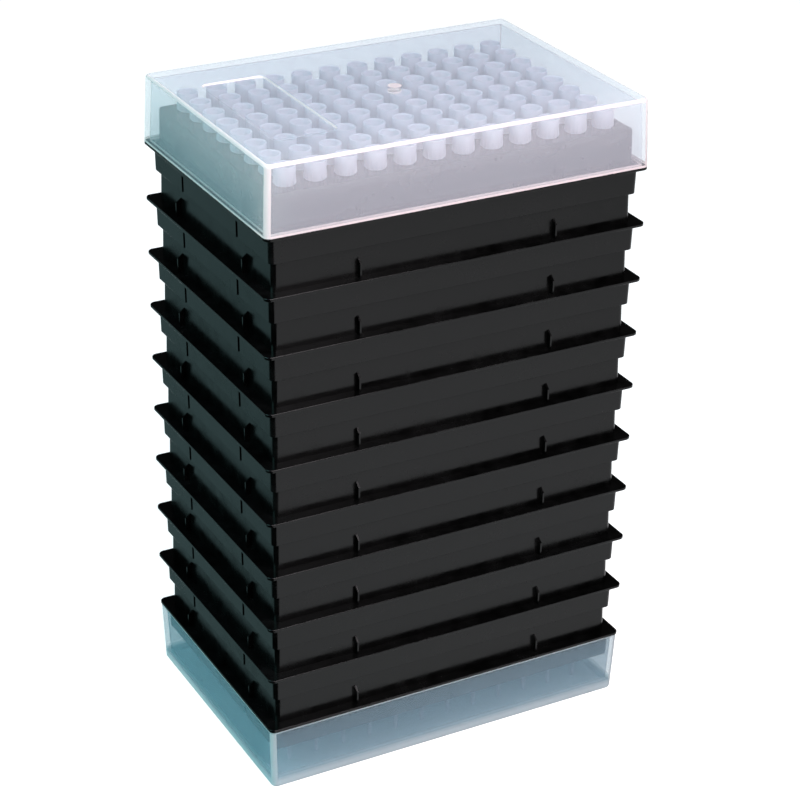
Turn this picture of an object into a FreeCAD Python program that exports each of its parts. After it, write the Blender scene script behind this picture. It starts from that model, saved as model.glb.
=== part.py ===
import FreeCAD, Part
import os

# A refill tower for pipette tips: ten moulded racks of 96 tips, nested one on another,
# with a tray under the lowest rack and a lid over the highest.
# Millimetres, +Z up. The origin is the middle of the tray's underside, X runs along the
# racks' long sides (twelve columns of tips) and Y along their short sides (eight rows).

V = FreeCAD.Vector

# ---- tip field ----
COLUMNS = 12
ROWS = 8
TIP_PITCH = 9.0               # standard 96-place grid

# ---- one tip; its own zero is the top of the deck it hangs from ----
NECK_DIAMETER = 4.6           # body where it passes through the deck
HEAD_HEIGHT = 7.7             # collar above the deck, up to the mouth
HEAD_LEDGE = 0.8              # how far the collar's foot stands out from the neck
HEAD_FLARE = 0.2              # how far the mouth stands out from the collar's foot
HEAD_EDGE = 0.4               # bevel under the collar, on the radius
HEAD_EDGE_RISE = 0.8          # and along the collar
COLLAR_WALL = 0.75
POINT_DIAMETER = 0.9
POINT_BORE = 0.4
POINT_DEPTH = 29.1            # how far the tip hangs below the deck
TIP_WALL = 0.45
MOUTH_BEVEL = 0.25            # lead-in for the pipette's nozzle

# ---- one rack; its own zero is the top of its flange ----
RACKS = 10
STACK_PITCH = 17.14           # flange to flange in the tower
DECK_HEIGHT = 10.55           # deck above the flange
DECK_THICKNESS = 1.5
END_MARGIN = 3.6              # deck between the last tip heads and the block's end walls
SIDE_MARGIN = 3.05            # deck between the last tip heads and the block's side walls
BLOCK_WALL = 1.2
BLOCK_DRAFT = 0.2             # each side leans in this much from flange to deck
BLOCK_CORNER = 1.5
BLOCK_EDGE = 0.5              # rounding round the deck
FLANGE_THICKNESS = 0.9
FLANGE_CORNER = 1.9
FLANGE_EDGE = 0.2
SKIRT_OVERLAP = 1.95          # how far a skirt reaches past the deck of the rack below
SKIRT_WALL = 0.85
SKIRT_CLEARANCE = 0.15        # between a skirt and the foot of a block; the block's draft adds to it
SKIRT_DRAFT = 0.15
SKIRT_CORNER = 1.5
HOLE_CLEARANCE = 0.3          # on the diameter, round a tip's neck
WEB_THICKNESS = 1.0           # stiffening webs under the deck
WEB_DEPTH = 3.5
WEB_EVERY = 2                 # a web in every second gap between rows and between columns
FOOT_THICKNESS = 1.0          # ribs inside the skirt that stand on the deck below
FOOT_BEARING = 1.9            # how far a foot reaches in over that deck
LONG_SIDE_FEET = (-45.0, -15.0, 15.0, 45.0)
SHORT_SIDE_FEET = (-27.0, 27.0)
GUIDE_THICKNESS = 0.5         # thin ribs on the block that centre the lid
GUIDE_HEIGHT = 5.4
GUIDE_SLOPE = 1.3             # how much of that height slopes back to the wall
LONG_SIDE_GUIDES = (-30.7, 30.7)
SHORT_SIDE_GUIDES = (-22.1, 22.1)
SLIT_WIDTH = 1.3              # pairs of slits free a springy tongue in each end of the skirt
SLIT_ROOT = 2.7               # skirt left whole between a slit and the flange
TONGUE_SLITS = (-18.1, 18.1)

# ---- lid and tray ----
LID_WALL = 1.5
LID_TOP = 1.3
LID_DRAFT = 0.75
LID_EDGE = 1.1
LID_HEADROOM = 0.6            # above the tips' mouths
LID_GUIDE_PLAY = 0.25         # between the lid and the guide ribs
LID_LABEL_LENGTH = 48.3       # shallow recess that takes a label, along Y
LID_LABEL_WIDTH = 19.5
LID_LABEL_END = 10.8          # from the recess to the rim's end
LID_LABEL_CORNER = 2.5
LID_LABEL_DEPTH = 0.5
LID_LABEL_SLOPE = 0.3         # its sides lean out this much to the top
GATE_DIAMETER = 3.9           # thick spot inside the lid, under its moulding gate
GATE_BULGE = 0.8
GATE_EDGE = 0.6
TRAY_WALL = 1.5
TRAY_FLOOR = 1.3
TRAY_DRAFT = 0.72
TRAY_EDGE = 1.1
TRAY_RIM_SETBACK = 0.2        # tray rim inside the flange's outline
TRAY_PLAY = 0.65              # between the tray's rim and the skirt; the tray's draft takes from it
POINT_CLEARANCE = 1.1         # from the lowest tips' points to the tray floor
INNER_EDGE = 0.35             # rounding inside the lid's and tray's bottoms

# ---- sizes that follow ----
head_diameter = NECK_DIAMETER + 2 * HEAD_LEDGE
mouth_diameter = head_diameter + 2 * HEAD_FLARE
block_length = (COLUMNS - 1) * TIP_PITCH + mouth_diameter + 2 * END_MARGIN
block_width = (ROWS - 1) * TIP_PITCH + mouth_diameter + 2 * SIDE_MARGIN
skirt_inset = TRAY_RIM_SETBACK + TRAY_WALL + TRAY_PLAY
flange_overhang = skirt_inset + SKIRT_WALL + SKIRT_CLEARANCE
flange_length = block_length + 2 * flange_overhang
flange_width = block_width + 2 * flange_overhang
foot_reach = STACK_PITCH - DECK_HEIGHT
skirt_depth = foot_reach + SKIRT_OVERLAP
hole_diameter = NECK_DIAMETER + HOLE_CLEARANCE
tray_depth = POINT_DEPTH - DECK_HEIGHT + POINT_CLEARANCE + TRAY_FLOOR
lid_height = DECK_HEIGHT + HEAD_HEIGHT + LID_HEADROOM + LID_TOP


def drafted(length, width, low, high, draft, corner):
    """An upright block, length x width at its low end, whose sides lean in by draft."""
    half_x, half_y = length / 2, width / 2
    block = Part.makeWedge(
        -half_x, low, -half_y, draft - half_y, draft - half_x,
        half_x, high, half_y, half_y - draft, half_x - draft,
    )
    block.rotate(V(0, 0, 0), V(1, 0, 0), 90)
    upright = [e for e in block.Edges if e.BoundBox.ZLength > (high - low) / 2]
    return block.makeFillet(corner, upright)


def edges_at(shape, height):
    return [
        e for e in shape.Edges
        if abs(e.BoundBox.ZMin - height) < 1e-4 and abs(e.BoundBox.ZMax - height) < 1e-4
    ]


def rounded_at(shape, height, radius):
    return shape.makeFillet(radius, edges_at(shape, height))


def upside_down(shape):
    return shape.mirror(V(0, 0, 0), V(0, 0, 1))


def tip_places():
    for column in range(COLUMNS):
        for row in range(ROWS):
            yield V(
                (column - (COLUMNS - 1) / 2) * TIP_PITCH,
                (row - (ROWS - 1) / 2) * TIP_PITCH,
                0,
            )


def side_ribs(section, thickness, long_side_places, short_side_places):
    """Ribs square to the four sides. The section is (inset from the flange's outline, height)."""
    ribs = []
    sides = (
        (long_side_places, flange_width / 2, (0, 180)),
        (short_side_places, flange_length / 2, (90, 270)),
    )
    for places, half_span, turns in sides:
        outline = [V(-thickness / 2, inset - half_span, height) for inset, height in section]
        rib = Part.Face(Part.makePolygon(outline + outline[:1])).extrude(V(thickness, 0, 0))
        for place in places:
            for turn in turns:
                ribs.append(rib.translated(V(place, 0, 0)).rotated(V(0, 0, 0), V(0, 0, 1), turn))
    return ribs


def bars(length, width, low, high, places):
    """Bars of length x width centred on the given places."""
    return [
        Part.makeBox(length, width, high - low, V(-length / 2, -width / 2, low) + place)
        for place in places
    ]


# ---- one rack ----
def moulded_walls():
    """Flange, the block that carries the deck, and the skirt, hollow from below."""
    flange = Part.makeBox(
        flange_length, flange_width, FLANGE_THICKNESS,
        V(-flange_length / 2, -flange_width / 2, -FLANGE_THICKNESS),
    )
    flange = flange.makeFillet(
        FLANGE_CORNER, [e for e in flange.Edges if e.BoundBox.ZLength > FLANGE_THICKNESS / 2]
    )
    flange = rounded_at(rounded_at(flange, 0, FLANGE_EDGE), -FLANGE_THICKNESS, FLANGE_EDGE)

    block = drafted(block_length, block_width, 0, DECK_HEIGHT, BLOCK_DRAFT, BLOCK_CORNER)
    block = rounded_at(block, DECK_HEIGHT, BLOCK_EDGE)

    skirt_top_inset = skirt_inset - SKIRT_DRAFT
    skirt = upside_down(drafted(
        flange_length - 2 * skirt_top_inset, flange_width - 2 * skirt_top_inset,
        FLANGE_THICKNESS, skirt_depth, SKIRT_DRAFT, SKIRT_CORNER,
    ))
    skirt = rounded_at(skirt, -skirt_depth, FLANGE_EDGE)

    skirt_room = drafted(
        flange_length - 2 * (skirt_inset + SKIRT_WALL), flange_width - 2 * (skirt_inset + SKIRT_WALL),
        -skirt_depth, -FLANGE_THICKNESS, 0, SKIRT_CORNER - SKIRT_WALL,
    )
    block_room = drafted(
        block_length - 2 * BLOCK_WALL, block_width - 2 * BLOCK_WALL,
        -FLANGE_THICKNESS, DECK_HEIGHT - DECK_THICKNESS, BLOCK_DRAFT, BLOCK_CORNER - BLOCK_WALL,
    )
    return flange.fuse([block, skirt]).cut([skirt_room, block_room])


def deck_webs():
    """A grid of webs under the deck, in gaps between the rows and columns of holes."""
    top = DECK_HEIGHT - DECK_THICKNESS + DECK_THICKNESS / 3
    low = DECK_HEIGHT - DECK_THICKNESS - WEB_DEPTH
    along = [
        V(0, (gap - ROWS / 2) * TIP_PITCH, 0) for gap in range(WEB_EVERY, ROWS, WEB_EVERY)
    ]
    across = [
        V((gap - COLUMNS / 2) * TIP_PITCH, 0, 0) for gap in range(WEB_EVERY, COLUMNS, WEB_EVERY)
    ]
    return (
        bars(block_length - 1.4 * BLOCK_WALL, WEB_THICKNESS, low, top, along)
        + bars(WEB_THICKNESS, block_width - 1.4 * BLOCK_WALL, low, top, across)
    )


def stacking_feet():
    """Ribs in the skirt's corner under the flange that stand on the edge of the deck below."""
    outer = skirt_inset + SKIRT_WALL / 2
    inner = flange_overhang + FOOT_BEARING
    section = [
        (outer, -foot_reach),
        (inner, -foot_reach),
        (inner, -FLANGE_THICKNESS / 2),
        (outer, -FLANGE_THICKNESS / 2),
    ]
    return side_ribs(section, FOOT_THICKNESS, LONG_SIDE_FEET, SHORT_SIDE_FEET)


def lid_guides():
    """Thin ribs on the block's walls: they lead the lid's rim to the middle of the flange."""
    toe = LID_WALL + LID_GUIDE_PLAY
    root = flange_overhang + BLOCK_DRAFT + BLOCK_WALL / 3
    section = [
        (toe, -FLANGE_THICKNESS / 2),
        (toe, GUIDE_HEIGHT - GUIDE_SLOPE),
        (flange_overhang, GUIDE_HEIGHT),
        (root, GUIDE_HEIGHT),
        (root, -FLANGE_THICKNESS / 2),
    ]
    return side_ribs(section, GUIDE_THICKNESS, LONG_SIDE_GUIDES, SHORT_SIDE_GUIDES)


def tongue_slits():
    section = [
        (skirt_inset - 2 * SKIRT_DRAFT, -skirt_depth - 1),
        (flange_overhang, -skirt_depth - 1),
        (flange_overhang, -FLANGE_THICKNESS - SLIT_ROOT),
        (skirt_inset - 2 * SKIRT_DRAFT, -FLANGE_THICKNESS - SLIT_ROOT),
    ]
    return side_ribs(section, SLIT_WIDTH, (), TONGUE_SLITS)


def rack():
    body = moulded_walls().fuse(deck_webs() + stacking_feet() + lid_guides())
    hole = Part.makeCylinder(
        hole_diameter / 2, 2 * DECK_THICKNESS, V(0, 0, DECK_HEIGHT - 1.5 * DECK_THICKNESS)
    )
    holes = [hole.translated(place) for place in tip_places()]
    return body.cut(holes + tongue_slits()).removeSplitter()


# ---- one tip ----
def tip():
    """Collar and body in one revolve: the collar's bore runs on into the body's."""
    head, mouth, neck = head_diameter / 2, mouth_diameter / 2, NECK_DIAMETER / 2
    bore = mouth - COLLAR_WALL
    section = [
        V(head, 0, HEAD_EDGE_RISE),
        V(mouth, 0, HEAD_HEIGHT),
        V(bore + MOUTH_BEVEL, 0, HEAD_HEIGHT),
        V(bore, 0, HEAD_HEIGHT - MOUTH_BEVEL),
        V(neck - TIP_WALL, 0, 0),
        V(POINT_BORE / 2, 0, -POINT_DEPTH),
        V(POINT_DIAMETER / 2, 0, -POINT_DEPTH),
        V(neck, 0, 0),
        V(head - HEAD_EDGE, 0, 0),
    ]
    return Part.Face(Part.makePolygon(section + section[:1])).revolve(V(0, 0, 0), V(0, 0, 1), 360)


def tip_set():
    one = tip()
    return Part.makeCompound([one.translated(place + V(0, 0, DECK_HEIGHT)) for place in tip_places()])


# ---- lid and tray ----
def label_recess():
    """What the label's place takes from the lid's top, near its -X end."""
    recess = drafted(
        LID_LABEL_WIDTH - 2 * LID_LABEL_SLOPE, LID_LABEL_LENGTH - 2 * LID_LABEL_SLOPE,
        lid_height - LID_LABEL_DEPTH, lid_height + LID_LABEL_DEPTH,
        -2 * LID_LABEL_SLOPE, LID_LABEL_CORNER,
    )
    return recess.translated(V(LID_LABEL_END + (LID_LABEL_WIDTH - flange_length) / 2, 0, 0))


def gate_spot():
    """The thick spot under the middle of the lid's top, where the plastic came in."""
    low = lid_height - LID_TOP - GATE_BULGE
    spot = Part.makeCylinder(GATE_DIAMETER / 2, GATE_BULGE + LID_TOP / 2, V(0, 0, low))
    return rounded_at(spot, low, GATE_EDGE)


def lid():
    """The lid, with its rim at the height of the flange it stands on."""
    shell = drafted(flange_length, flange_width, 0, lid_height, LID_DRAFT, FLANGE_CORNER)
    shell = rounded_at(shell, lid_height, LID_EDGE)
    room = drafted(
        flange_length - 2 * LID_WALL, flange_width - 2 * LID_WALL,
        0, lid_height - LID_TOP, LID_DRAFT, FLANGE_CORNER - LID_WALL,
    )
    room = rounded_at(room, lid_height - LID_TOP, INNER_EDGE)
    return shell.cut([room, label_recess()]).fuse(gate_spot()).removeSplitter()


def tray():
    """The tray, standing at its own height: its rim carries the lowest rack's flange."""
    length, width = flange_length - 2 * TRAY_RIM_SETBACK, flange_width - 2 * TRAY_RIM_SETBACK
    shell = drafted(length, width, FLANGE_THICKNESS, tray_depth, TRAY_DRAFT, FLANGE_CORNER)
    shell = rounded_at(shell, tray_depth, TRAY_EDGE)
    room = drafted(
        length - 2 * TRAY_WALL, width - 2 * TRAY_WALL,
        FLANGE_THICKNESS, tray_depth - TRAY_FLOOR, TRAY_DRAFT, FLANGE_CORNER - TRAY_WALL,
    )
    room = rounded_at(room, tray_depth - TRAY_FLOOR, INNER_EDGE)
    return upside_down(shell.cut(room)).translated(V(0, 0, tray_depth))


# ---- the tower ----
def save(name, shape):
    shape.exportStep(f"parts/{name}.step")


os.makedirs("parts", exist_ok=True)
save("base_tray", tray())
one_rack, one_tip_set = rack(), tip_set()
for number in range(RACKS):
    lift = V(0, 0, tray_depth + number * STACK_PITCH)
    save(f"rack_{number + 1:02d}", one_rack.translated(lift))
    save(f"tips_{number + 1:02d}", one_tip_set.translated(lift))
save("lid", lid().translated(V(0, 0, tray_depth + (RACKS - 1) * STACK_PITCH)))
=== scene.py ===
import math

import bpy
from mathutils import Matrix, Vector


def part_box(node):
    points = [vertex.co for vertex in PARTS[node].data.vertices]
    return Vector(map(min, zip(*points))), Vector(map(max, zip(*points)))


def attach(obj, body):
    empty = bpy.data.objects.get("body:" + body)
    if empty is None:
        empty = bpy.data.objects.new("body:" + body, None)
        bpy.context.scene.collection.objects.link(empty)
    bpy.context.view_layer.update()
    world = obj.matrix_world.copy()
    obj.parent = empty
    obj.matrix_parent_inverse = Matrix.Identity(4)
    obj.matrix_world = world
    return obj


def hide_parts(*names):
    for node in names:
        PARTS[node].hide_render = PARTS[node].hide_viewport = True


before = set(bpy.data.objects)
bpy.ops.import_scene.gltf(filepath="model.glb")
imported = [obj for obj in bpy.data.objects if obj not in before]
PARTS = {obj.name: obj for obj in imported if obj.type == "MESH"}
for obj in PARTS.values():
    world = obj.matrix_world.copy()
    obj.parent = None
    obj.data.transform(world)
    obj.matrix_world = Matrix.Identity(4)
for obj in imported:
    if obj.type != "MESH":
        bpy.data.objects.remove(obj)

# Looks of a refill tower for pipette tips: black racks of natural tips between a milky tray and lid.
# Metres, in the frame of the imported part: +Z up, the middle of the tray's underside at the origin.

MM = 0.001
RACKS = sorted(name for name in PARTS if name.startswith("rack_"))
TIP_SETS = sorted(name for name in PARTS if name.startswith("tips_"))
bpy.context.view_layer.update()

# ---- the tips' grid, and one tip; its own zero is the top of the deck it hangs from ----
TIP_PITCH = 9.0 * MM
COLUMNS, ROWS = 12, 8
COLLAR_RADIUS = 3.0 * MM       # at the collar's foot
COLLAR_FLARE = 0.05 * MM       # more than that at the mouth
COLLAR_HEIGHT = 5.45 * MM
COLLAR_BORE = 2.55 * MM        # radius, as the other bores
COLLAR_EDGE = 0.4 * MM         # bevel under the collar, on the radius
COLLAR_EDGE_RISE = 0.8 * MM    # and along the collar
MOUTH_BEVEL = 0.2 * MM
NECK_RADIUS = 2.3 * MM
NECK_BORE = 1.85 * MM
POINT_RADIUS = 0.45 * MM
POINT_BORE = 0.2 * MM
POINT_DEPTH = 29.1 * MM
TIP_SIDES = 36                 # flats round a tip
SHARP_FROM = math.radians(30)

# ---- the fine upright ribs on a collar ----
RIBS = 18
RIB_FOOT = 0.1 * MM            # above the deck
RIB_HEIGHT = 3.4 * MM
RIB_RISE = 0.14 * MM           # how far a rib stands out near its foot
RIB_TOP_RISE = 0.3             # share of that left near its head
RIB_HALF_WIDTH = 0.22 * MM
RIB_SINK = 0.15 * MM           # how deep a rib's root lies in the collar
RIB_FOOT_SLOPE = 0.4 * MM
RIB_HEAD_SLOPE = 0.5 * MM


# ---- colours and nodes ----
def srgb(hex_code):
    """Linear RGBA of an sRGB hex colour."""
    channels = [int(hex_code[i:i + 2], 16) / 255 for i in (1, 3, 5)]
    linear = [c / 12.92 if c <= 0.04045 else ((c + 0.055) / 1.055) ** 2.4 for c in channels]
    return (*linear, 1.0)


def add_node(tree, kind, inputs=(), output=0, **settings):
    """Adds a node and returns one of its outputs. The inputs, in order or by name, are plain values
    or outputs of other nodes, which are linked."""
    node = tree.nodes.new("ShaderNode" + kind)
    for name, value in settings.items():
        setattr(node, name, value)
    for key, value in inputs.items() if isinstance(inputs, dict) else enumerate(inputs):
        if isinstance(value, bpy.types.NodeSocket):
            tree.links.new(value, node.inputs[key])
        else:
            node.inputs[key].default_value = value
    return node.outputs[output]


def new_material(name, build_surface):
    material = bpy.data.materials.new(name)
    material.use_nodes = True
    tree = material.node_tree
    tree.nodes.clear()
    output = tree.nodes.new("ShaderNodeOutputMaterial")
    tree.links.new(build_surface(tree), output.inputs["Surface"])
    return material


def grain(tree, spacing, detail=2.0, stretch=(1, 1, 1)):
    """Soft random values from 0 to 1 whose features are about spacing apart, fixed to the piece."""
    place = add_node(tree, "TexCoord", output="Object")
    scaled = add_node(tree, "VectorMath", [place, stretch], operation="MULTIPLY")
    return add_node(tree, "TexNoise", {"Vector": scaled, "Scale": 1 / spacing, "Detail": detail})


# ---- black racks ----
def black_surface(tree):
    """Black polypropylene, injection moulded in a lightly spark-eroded steel mould.

    The eye sees near-black plastic with a soft satin sheen, faint flow clouds a few centimetres
    long, drawn out along the walls, and an orange-peel grain of about a millimetre.
    """
    flow = grain(tree, 20 * MM, 4.0, (0.5, 0.5, 2.0))
    speckle = grain(tree, 4.0 * MM, 3.0)
    both = add_node(tree, "Math", [flow, speckle], operation="ADD")
    clouds = add_node(tree, "MapRange", {"Value": both, "From Min": 0.7, "From Max": 1.3})
    orange_peel = grain(tree, 1.0 * MM)
    return add_node(tree, "BsdfPrincipled", {
        "Base Color": add_node(tree, "Mix", {0: clouds, 6: srgb("#010101"), 7: srgb("#060606")},
                               output=2, data_type="RGBA"),
        "Roughness": add_node(tree, "MapRange", {"Value": clouds, "To Min": 0.13, "To Max": 0.31}),
        "Specular IOR Level": 0.2,
        "IOR": 1.49,
        "Normal": add_node(tree, "Bump", {"Strength": 0.05, "Distance": 0.05 * MM,
                                          "Height": orange_peel}),
    })


# ---- milky lid and tray ----
GLOW_SHARE = 0.48              # of the light that a milky wall scatters, what comes from behind it
GATE_RADIUS = 2.0 * MM


def rounded_places(tree):
    """1 where a moulding is rounded, between faces that look along an axis, from outside it."""
    normal = add_node(tree, "NewGeometry", output="Normal")
    normal = add_node(tree, "VectorMath", [normal], operation="ABSOLUTE")
    x, y, z = (add_node(tree, "SeparateXYZ", [normal], output=axis) for axis in ("X", "Y", "Z"))
    largest = add_node(tree, "Math", [x, y], operation="MAXIMUM")
    largest = add_node(tree, "Math", [largest, z], operation="MAXIMUM")
    rounded = add_node(tree, "MapRange", {"Value": largest, "From Min": 0.992, "From Max": 0.965},
                       interpolation_type="SMOOTHSTEP")
    within = add_node(tree, "NewGeometry", output="Backfacing")
    return add_node(tree, "Math", [rounded, within], operation="SUBTRACT", use_clamp=True)


def see_through(tree, wall, solid_places, face_on, edge_on):
    """A thin milky wall in front of what is behind it. Its veil has the strength face_on where it is
    seen straight on and edge_on where it is seen at a slant, and is whole in the solid places."""
    facing = add_node(tree, "LayerWeight", {"Blend": 0.5}, output="Facing")
    veil = add_node(tree, "MapRange", {"Value": facing, "To Min": face_on, "To Max": edge_on})
    veil = add_node(tree, "Math", [veil, solid_places], operation="MAXIMUM")
    clear = add_node(tree, "BsdfTransparent", {"Color": srgb("#fafdfe")})
    return add_node(tree, "MixShader", [veil, clear, wall])


def near_height(tree, height, reach, fade):
    """1 within reach of a height, falling to 0 over fade beyond it."""
    place = add_node(tree, "TexCoord", output="Object")
    z = add_node(tree, "SeparateXYZ", [place], output="Z")
    away = add_node(tree, "Math", [z, height], operation="SUBTRACT")
    away = add_node(tree, "Math", [away], operation="ABSOLUTE")
    return add_node(tree, "MapRange", {"Value": away, "From Min": reach + fade, "From Max": reach},
                    interpolation_type="SMOOTHSTEP")


def milky_surface(tree, thick_glow_places, skin_hexes, thick_glow_hex, glow_hex, face_on, edge_on):
    """Natural polypropylene without pigment, moulded with 1.5 mm walls against polished steel.

    Its crystals scatter light, the blue more than the red. So a wall is a bluish milky veil over
    what is behind it, thinner where it is seen face-on and thicker where it is seen edge-on, and
    tinted by the light that comes through from the other side. In the places given as thicker, at
    edges, rims, the lid's gate and the tray's foot, the veil is whole and the colour is the one
    given for them, so they render as bright bands: partly the real thicker plastic, partly a
    painted glow that stands in for light run through the depth of the plastic.
    """
    cloud = grain(tree, 18 * MM)
    wave = grain(tree, 7 * MM, 1.0)
    skin = add_node(tree, "Mix", {0: cloud, 6: srgb(skin_hexes[0]), 7: srgb(skin_hexes[1])},
                    output=2, data_type="RGBA")
    # Painted glow: the thicker places get a colour of their own and, in see_through, a whole veil, so
    # they render as bright bands; partly real thicker plastic, partly painted light run through it.
    body = add_node(tree, "BsdfPrincipled", {
        "Base Color": add_node(tree, "Mix", {0: thick_glow_places, 6: skin, 7: srgb(thick_glow_hex)},
                               output=2, data_type="RGBA"),
        "Roughness": 0.16,
        "Specular IOR Level": 0.5,
        "IOR": 1.49,
        "Normal": add_node(tree, "Bump", {"Strength": 0.05, "Distance": 0.1 * MM, "Height": wave}),
    })
    glow = add_node(tree, "BsdfTranslucent", {"Color": srgb(glow_hex)})
    milk = add_node(tree, "MixShader", [GLOW_SHARE, body, glow])
    return see_through(tree, milk, thick_glow_places, face_on, edge_on)


def lid_surface(tree):
    """The lid is drawn whole at its gate spot, its rounded edges and its rim, so these render bright:
    partly thicker plastic, partly a painted glow.
    """
    low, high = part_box("lid")
    place = add_node(tree, "TexCoord", output="Object")
    across = add_node(tree, "VectorMath", [place, (1, 1, 0)], operation="MULTIPLY")
    from_gate = add_node(tree, "VectorMath", [across], output="Value", operation="LENGTH")
    # Painted glow: within GATE_RADIUS of the middle, at the rounded edges and along the rim the lid is
    # drawn whole in its own colour; partly thicker plastic, partly painted light.
    thick_glow = add_node(tree, "Math", [from_gate, GATE_RADIUS], operation="LESS_THAN")
    for edge in (rounded_places(tree), near_height(tree, low[2], 0.55 * MM, 0.3 * MM)):
        thick_glow = add_node(tree, "Math", [thick_glow, edge], operation="MAXIMUM")
    # The pinkish colour of the lid's thicker places is part of the painted glow, set so that the edges
    # read near white under the teal left lamp.
    return milky_surface(tree, thick_glow, ("#e4e5f2", "#e9eaf6"), "#e0d3d6", "#fff0e6", 0.25, 0.30)


def tray_surface(tree):
    """The tray is drawn whole at its rounded edges, its foot and its rim, in a paler colour: partly
    thicker plastic, partly a painted glow.
    """
    low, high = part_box("base_tray")
    # Painted glow: rounded edges, foot and rim are drawn whole in a paler colour; partly thicker
    # plastic, partly painted light. The foot band fades out over 4 mm up the walls, a painted
    # brightening towards the bottom.
    thick_glow = rounded_places(tree)
    foot = near_height(tree, low[2], 1.6 * MM, 4.0 * MM)
    rim = near_height(tree, high[2], 0.35 * MM, 0.3 * MM)
    for edge in (foot, rim):
        thick_glow = add_node(tree, "Math", [thick_glow, edge], operation="MAXIMUM")
    # Painted shade: the tray's skin and glow colours, and its stronger veil, are darker and bluer than
    # the lid's for the same milky plastic, because the tray lies in the racks' shade.
    return milky_surface(tree, thick_glow, ("#a6c2d2", "#aecada"), "#d2dade", "#a2c2cc", 0.32, 0.42)


# ---- tips ----
def tip_surface(tree):
    """Natural polypropylene, moulded thin: frosted tubes, near white, that light passes into."""
    body = add_node(tree, "BsdfPrincipled", {
        "Base Color": add_node(tree, "Mix", {0: grain(tree, 4 * MM), 6: srgb("#d2d1da"),
                                             7: srgb("#dad9e2")}, output=2, data_type="RGBA"),
        "Roughness": 0.35,
        "IOR": 1.49,
    })
    glow = add_node(tree, "BsdfTranslucent", {"Color": srgb("#d2d2dc")})
    return add_node(tree, "MixShader", [0.55, body, glow])


def dress(name, material):
    slots = PARTS[name].data.materials
    slots.clear()
    slots.append(material)


black = new_material("moulded_black_polypropylene", black_surface)
tip_plastic = new_material("natural_tip_polypropylene", tip_surface)
for rack in RACKS:
    dress(rack, black)
for tip_set in TIP_SETS:
    dress(tip_set, tip_plastic)
dress("lid", new_material("milky_lid_polypropylene", lid_surface))
dress("base_tray", new_material("shaded_milky_tray_polypropylene", tray_surface))


# ---- the highest rack's tips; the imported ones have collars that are 2.25 mm higher ----
def tip_axes():
    for column in range(COLUMNS):
        for row in range(ROWS):
            yield (column - (COLUMNS - 1) / 2) * TIP_PITCH, (row - (ROWS - 1) / 2) * TIP_PITCH


def round_about(axis, turn, out, across, height):
    """A point that lies out from an upright axis and across from that line, turned round the axis."""
    return (axis[0] + out * math.cos(turn) - across * math.sin(turn),
            axis[1] + out * math.sin(turn) + across * math.cos(turn),
            height)


def tip_piece(name, verts, faces):
    """A piece of the tips' plastic that moves with the stack."""
    mesh = bpy.data.meshes.new(name)
    mesh.from_pydata(verts, [], faces)
    mesh.materials.append(tip_plastic)
    piece = bpy.data.objects.new(name, mesh)
    bpy.context.scene.collection.objects.link(piece)
    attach(piece, "stack")
    return piece


def short_collar_tips(deck_height):
    """A tip's closed outline, from the collar's foot over the mouth and down the bore, turned round
    each axis."""
    mouth = COLLAR_RADIUS + COLLAR_FLARE
    outline = [
        (COLLAR_RADIUS, COLLAR_EDGE_RISE),
        (mouth, COLLAR_HEIGHT),
        (COLLAR_BORE + MOUTH_BEVEL, COLLAR_HEIGHT),
        (COLLAR_BORE, COLLAR_HEIGHT - MOUTH_BEVEL),
        (NECK_BORE, 0.0),
        (POINT_BORE, -POINT_DEPTH),
        (POINT_RADIUS, -POINT_DEPTH),
        (NECK_RADIUS, 0.0),
        (COLLAR_RADIUS - COLLAR_EDGE, 0.0),
    ]
    count = len(outline)
    verts, faces = [], []
    for axis in tip_axes():
        start = len(verts)
        for side in range(TIP_SIDES):
            turn = 2 * math.pi * side / TIP_SIDES
            verts.extend(round_about(axis, turn, out, 0.0, deck_height + up) for out, up in outline)
        for side in range(TIP_SIDES):
            here = start + side * count
            there = start + (side + 1) % TIP_SIDES * count
            for i in range(count):
                j = (i + 1) % count
                faces.append((here + i, here + j, there + j, there + i))
    tips = tip_piece("short_collar_tips", verts, faces)
    tips.data.shade_smooth()
    tips.data.set_sharp_from_angle(angle=SHARP_FROM)
    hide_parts("tips_10")


def collar_ribs(deck_height):
    """One upright ridge, three-sided and running out at its top, repeated round every collar."""
    verts, faces = [], []
    foot = deck_height + RIB_FOOT
    head = foot + RIB_HEIGHT
    root = COLLAR_RADIUS - RIB_SINK
    section = [
        (root, -RIB_HALF_WIDTH, foot),
        (root, RIB_HALF_WIDTH, foot),
        (COLLAR_RADIUS + RIB_RISE, 0.0, foot + RIB_FOOT_SLOPE),
        (root, -RIB_HALF_WIDTH, head),
        (root, RIB_HALF_WIDTH, head),
        (COLLAR_RADIUS + RIB_TOP_RISE * RIB_RISE, 0.0, head - RIB_HEAD_SLOPE),
    ]
    sides = [(0, 1, 2), (3, 5, 4), (0, 2, 5, 3), (1, 4, 5, 2), (0, 3, 4, 1)]
    for axis in tip_axes():
        for rib in range(RIBS):
            turn = 2 * math.pi * (rib + 0.5) / RIBS
            start = len(verts)
            verts.extend(round_about(axis, turn, *point) for point in section)
            faces.extend(tuple(start + i for i in side) for side in sides)
    tip_piece("collar_ribs", verts, faces)


top_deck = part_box("rack_10")[1][2]
short_collar_tips(top_deck)
collar_ribs(top_deck)

# ---- floor, cards, lamps, sky ----
FLOOR_HALF = 8
FLOOR_HEIGHT = -0.02 * MM
FLOOR_GLOW = 0.90
CARD_CORNER = (-59.0 * MM, -40.5 * MM)     # the tower's front left corner
CARD_LENGTH = 1.5
CARD_HEIGHT = 0.6 * MM
FAN_STEPS = 8
LAMP_AIM = Vector((0, 0, 0.1))


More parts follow.
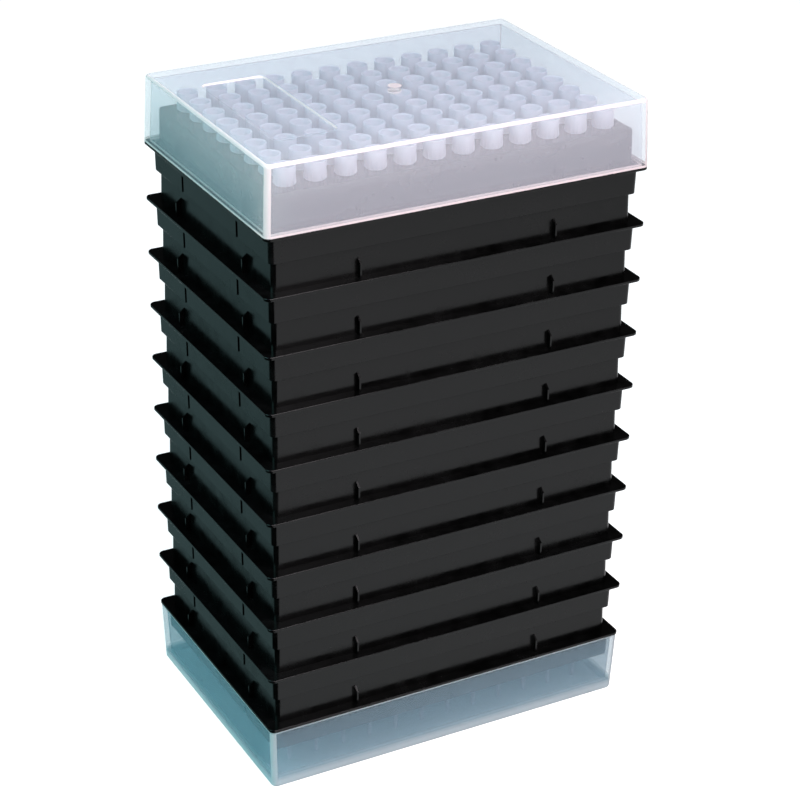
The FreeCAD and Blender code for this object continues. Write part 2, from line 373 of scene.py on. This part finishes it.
def flat_piece(name, verts, material):
    """A flat stage piece with one face, through all its corners."""
    mesh = bpy.data.meshes.new(name)
    mesh.from_pydata(verts, [], [tuple(range(len(verts)))])
    piece = bpy.data.objects.new(name, mesh)
    bpy.context.scene.collection.objects.link(piece)
    mesh.materials.append(material)
    return piece


def floor_surface(tree):
    """Matt white paper. It shines a little for the rays that look at it, so that it reads as white."""
    paper = add_node(tree, "BsdfDiffuse", {"Color": (0.35, 0.35, 0.35, 1)})
    seen, mirrored, through = (
        add_node(tree, "LightPath", output=ray)
        for ray in ("Is Camera Ray", "Is Glossy Ray", "Is Transmission Ray")
    )
    looks = add_node(tree, "Math", [seen, mirrored], operation="MAXIMUM")
    looks = add_node(tree, "Math", [looks, through], operation="MAXIMUM")
    strength = add_node(tree, "Math", [looks, FLOOR_GLOW], operation="MULTIPLY")
    shine = add_node(tree, "Emission", {"Color": (1, 1, 1, 1), "Strength": strength})
    return add_node(tree, "AddShader", [paper, shine])


def plain_glow(hex_code):
    return lambda tree: add_node(tree, "Emission", {"Color": srgb(hex_code), "Strength": 1.0})


def fan_card(name, first, last, hex_code):
    """A card lying by the tower's foot, a fan between two directions, that only sheens show. The
    directions are degrees from the front (-Y) round to the left (-X)."""
    verts = [(*CARD_CORNER, CARD_HEIGHT)]
    for step in range(FAN_STEPS + 1):
        turn = math.radians(first + (last - first) * step / FAN_STEPS)
        verts.append((CARD_CORNER[0] - CARD_LENGTH * math.sin(turn),
                      CARD_CORNER[1] - CARD_LENGTH * math.cos(turn), CARD_HEIGHT))
    card = flat_piece(name, verts, new_material(name, plain_glow(hex_code)))
    card.visible_camera = False
    card.visible_diffuse = False
    card.visible_transmission = False
    card.visible_shadow = False


def soft_lamp(name, place, size, watts, hex_code):
    """A square area lamp at place, facing the middle of the tower."""
    data = bpy.data.lights.new(name, "AREA")
    data.shape = "SQUARE"
    data.size = size
    data.energy = watts
    data.color = srgb(hex_code)[:3]
    lamp = bpy.data.objects.new(name, data)
    lamp.location = place
    towards = LAMP_AIM - lamp.location
    lamp.rotation_euler = towards.to_track_quat("-Z", "Y").to_euler()
    bpy.context.scene.collection.objects.link(lamp)


def grey_sky(strength):
    world = bpy.data.worlds.new("studio")
    bpy.context.scene.world = world
    world.use_nodes = True
    background = world.node_tree.nodes["Background"]
    background.inputs["Color"].default_value = (1, 1, 1, 1)
    background.inputs["Strength"].default_value = strength


floor_corners = [(x * FLOOR_HALF, y * FLOOR_HALF, FLOOR_HEIGHT)
                 for x, y in ((-1, -1), (1, -1), (1, 1), (-1, 1))]
flat_piece("floor", floor_corners, new_material("white_paper", floor_surface))

# Two cards on the floor: the sheen of the rounded corners shows the black one, and the sheen of the
# left walls the teal one.
fan_card("black_card", 2, 128, "#000000")
fan_card("teal_card", 128, 179, "#83a6a8")

# A near-white key lamp from the front, a teal one from the left and a blue one from above.
grey_sky(0.02)
soft_lamp("key", (0.00, -0.34, 0.47), 0.35, 5.6, "#fff7fb")
soft_lamp("left_fill", (-0.80, 0.05, 0.50), 0.6, 9.4, "#a6eeea")
soft_lamp("top", (-0.50, 0.20, 1.80), 1.3, 9, "#a8ccff")

# ---- camera ----
CAMERA_AZIMUTH = math.radians(28.666)     # the camera stands this far round to the left of the front
CAMERA_ELEVATION = math.radians(26.886)
CAMERA_ROLL = math.radians(0.944)
CAMERA_DISTANCE = 0.7036
CAMERA_AIM = Vector((0.0, -6.2 * MM, 99.28 * MM))
LENS_MM = 106.74
SENSOR_MM = 36.0


def set_camera():
    data = bpy.data.cameras.new("camera")
    data.lens = LENS_MM
    data.sensor_width = SENSOR_MM
    data.clip_start = 0.05
    data.clip_end = 50.0
    camera = bpy.data.objects.new("camera", data)
    bpy.context.scene.collection.objects.link(camera)
    forward = Vector((
        math.sin(CAMERA_AZIMUTH) * math.cos(CAMERA_ELEVATION),
        math.cos(CAMERA_AZIMUTH) * math.cos(CAMERA_ELEVATION),
        -math.sin(CAMERA_ELEVATION),
    ))
    turn = forward.to_track_quat("-Z", "Y").to_matrix().to_4x4()
    place = Matrix.Translation(CAMERA_AIM - CAMERA_DISTANCE * forward)
    camera.matrix_world = place @ turn @ Matrix.Rotation(CAMERA_ROLL, 4, "Z")
    bpy.context.scene.camera = camera


set_camera()
bpy.context.scene.view_settings.view_transform = "Standard"
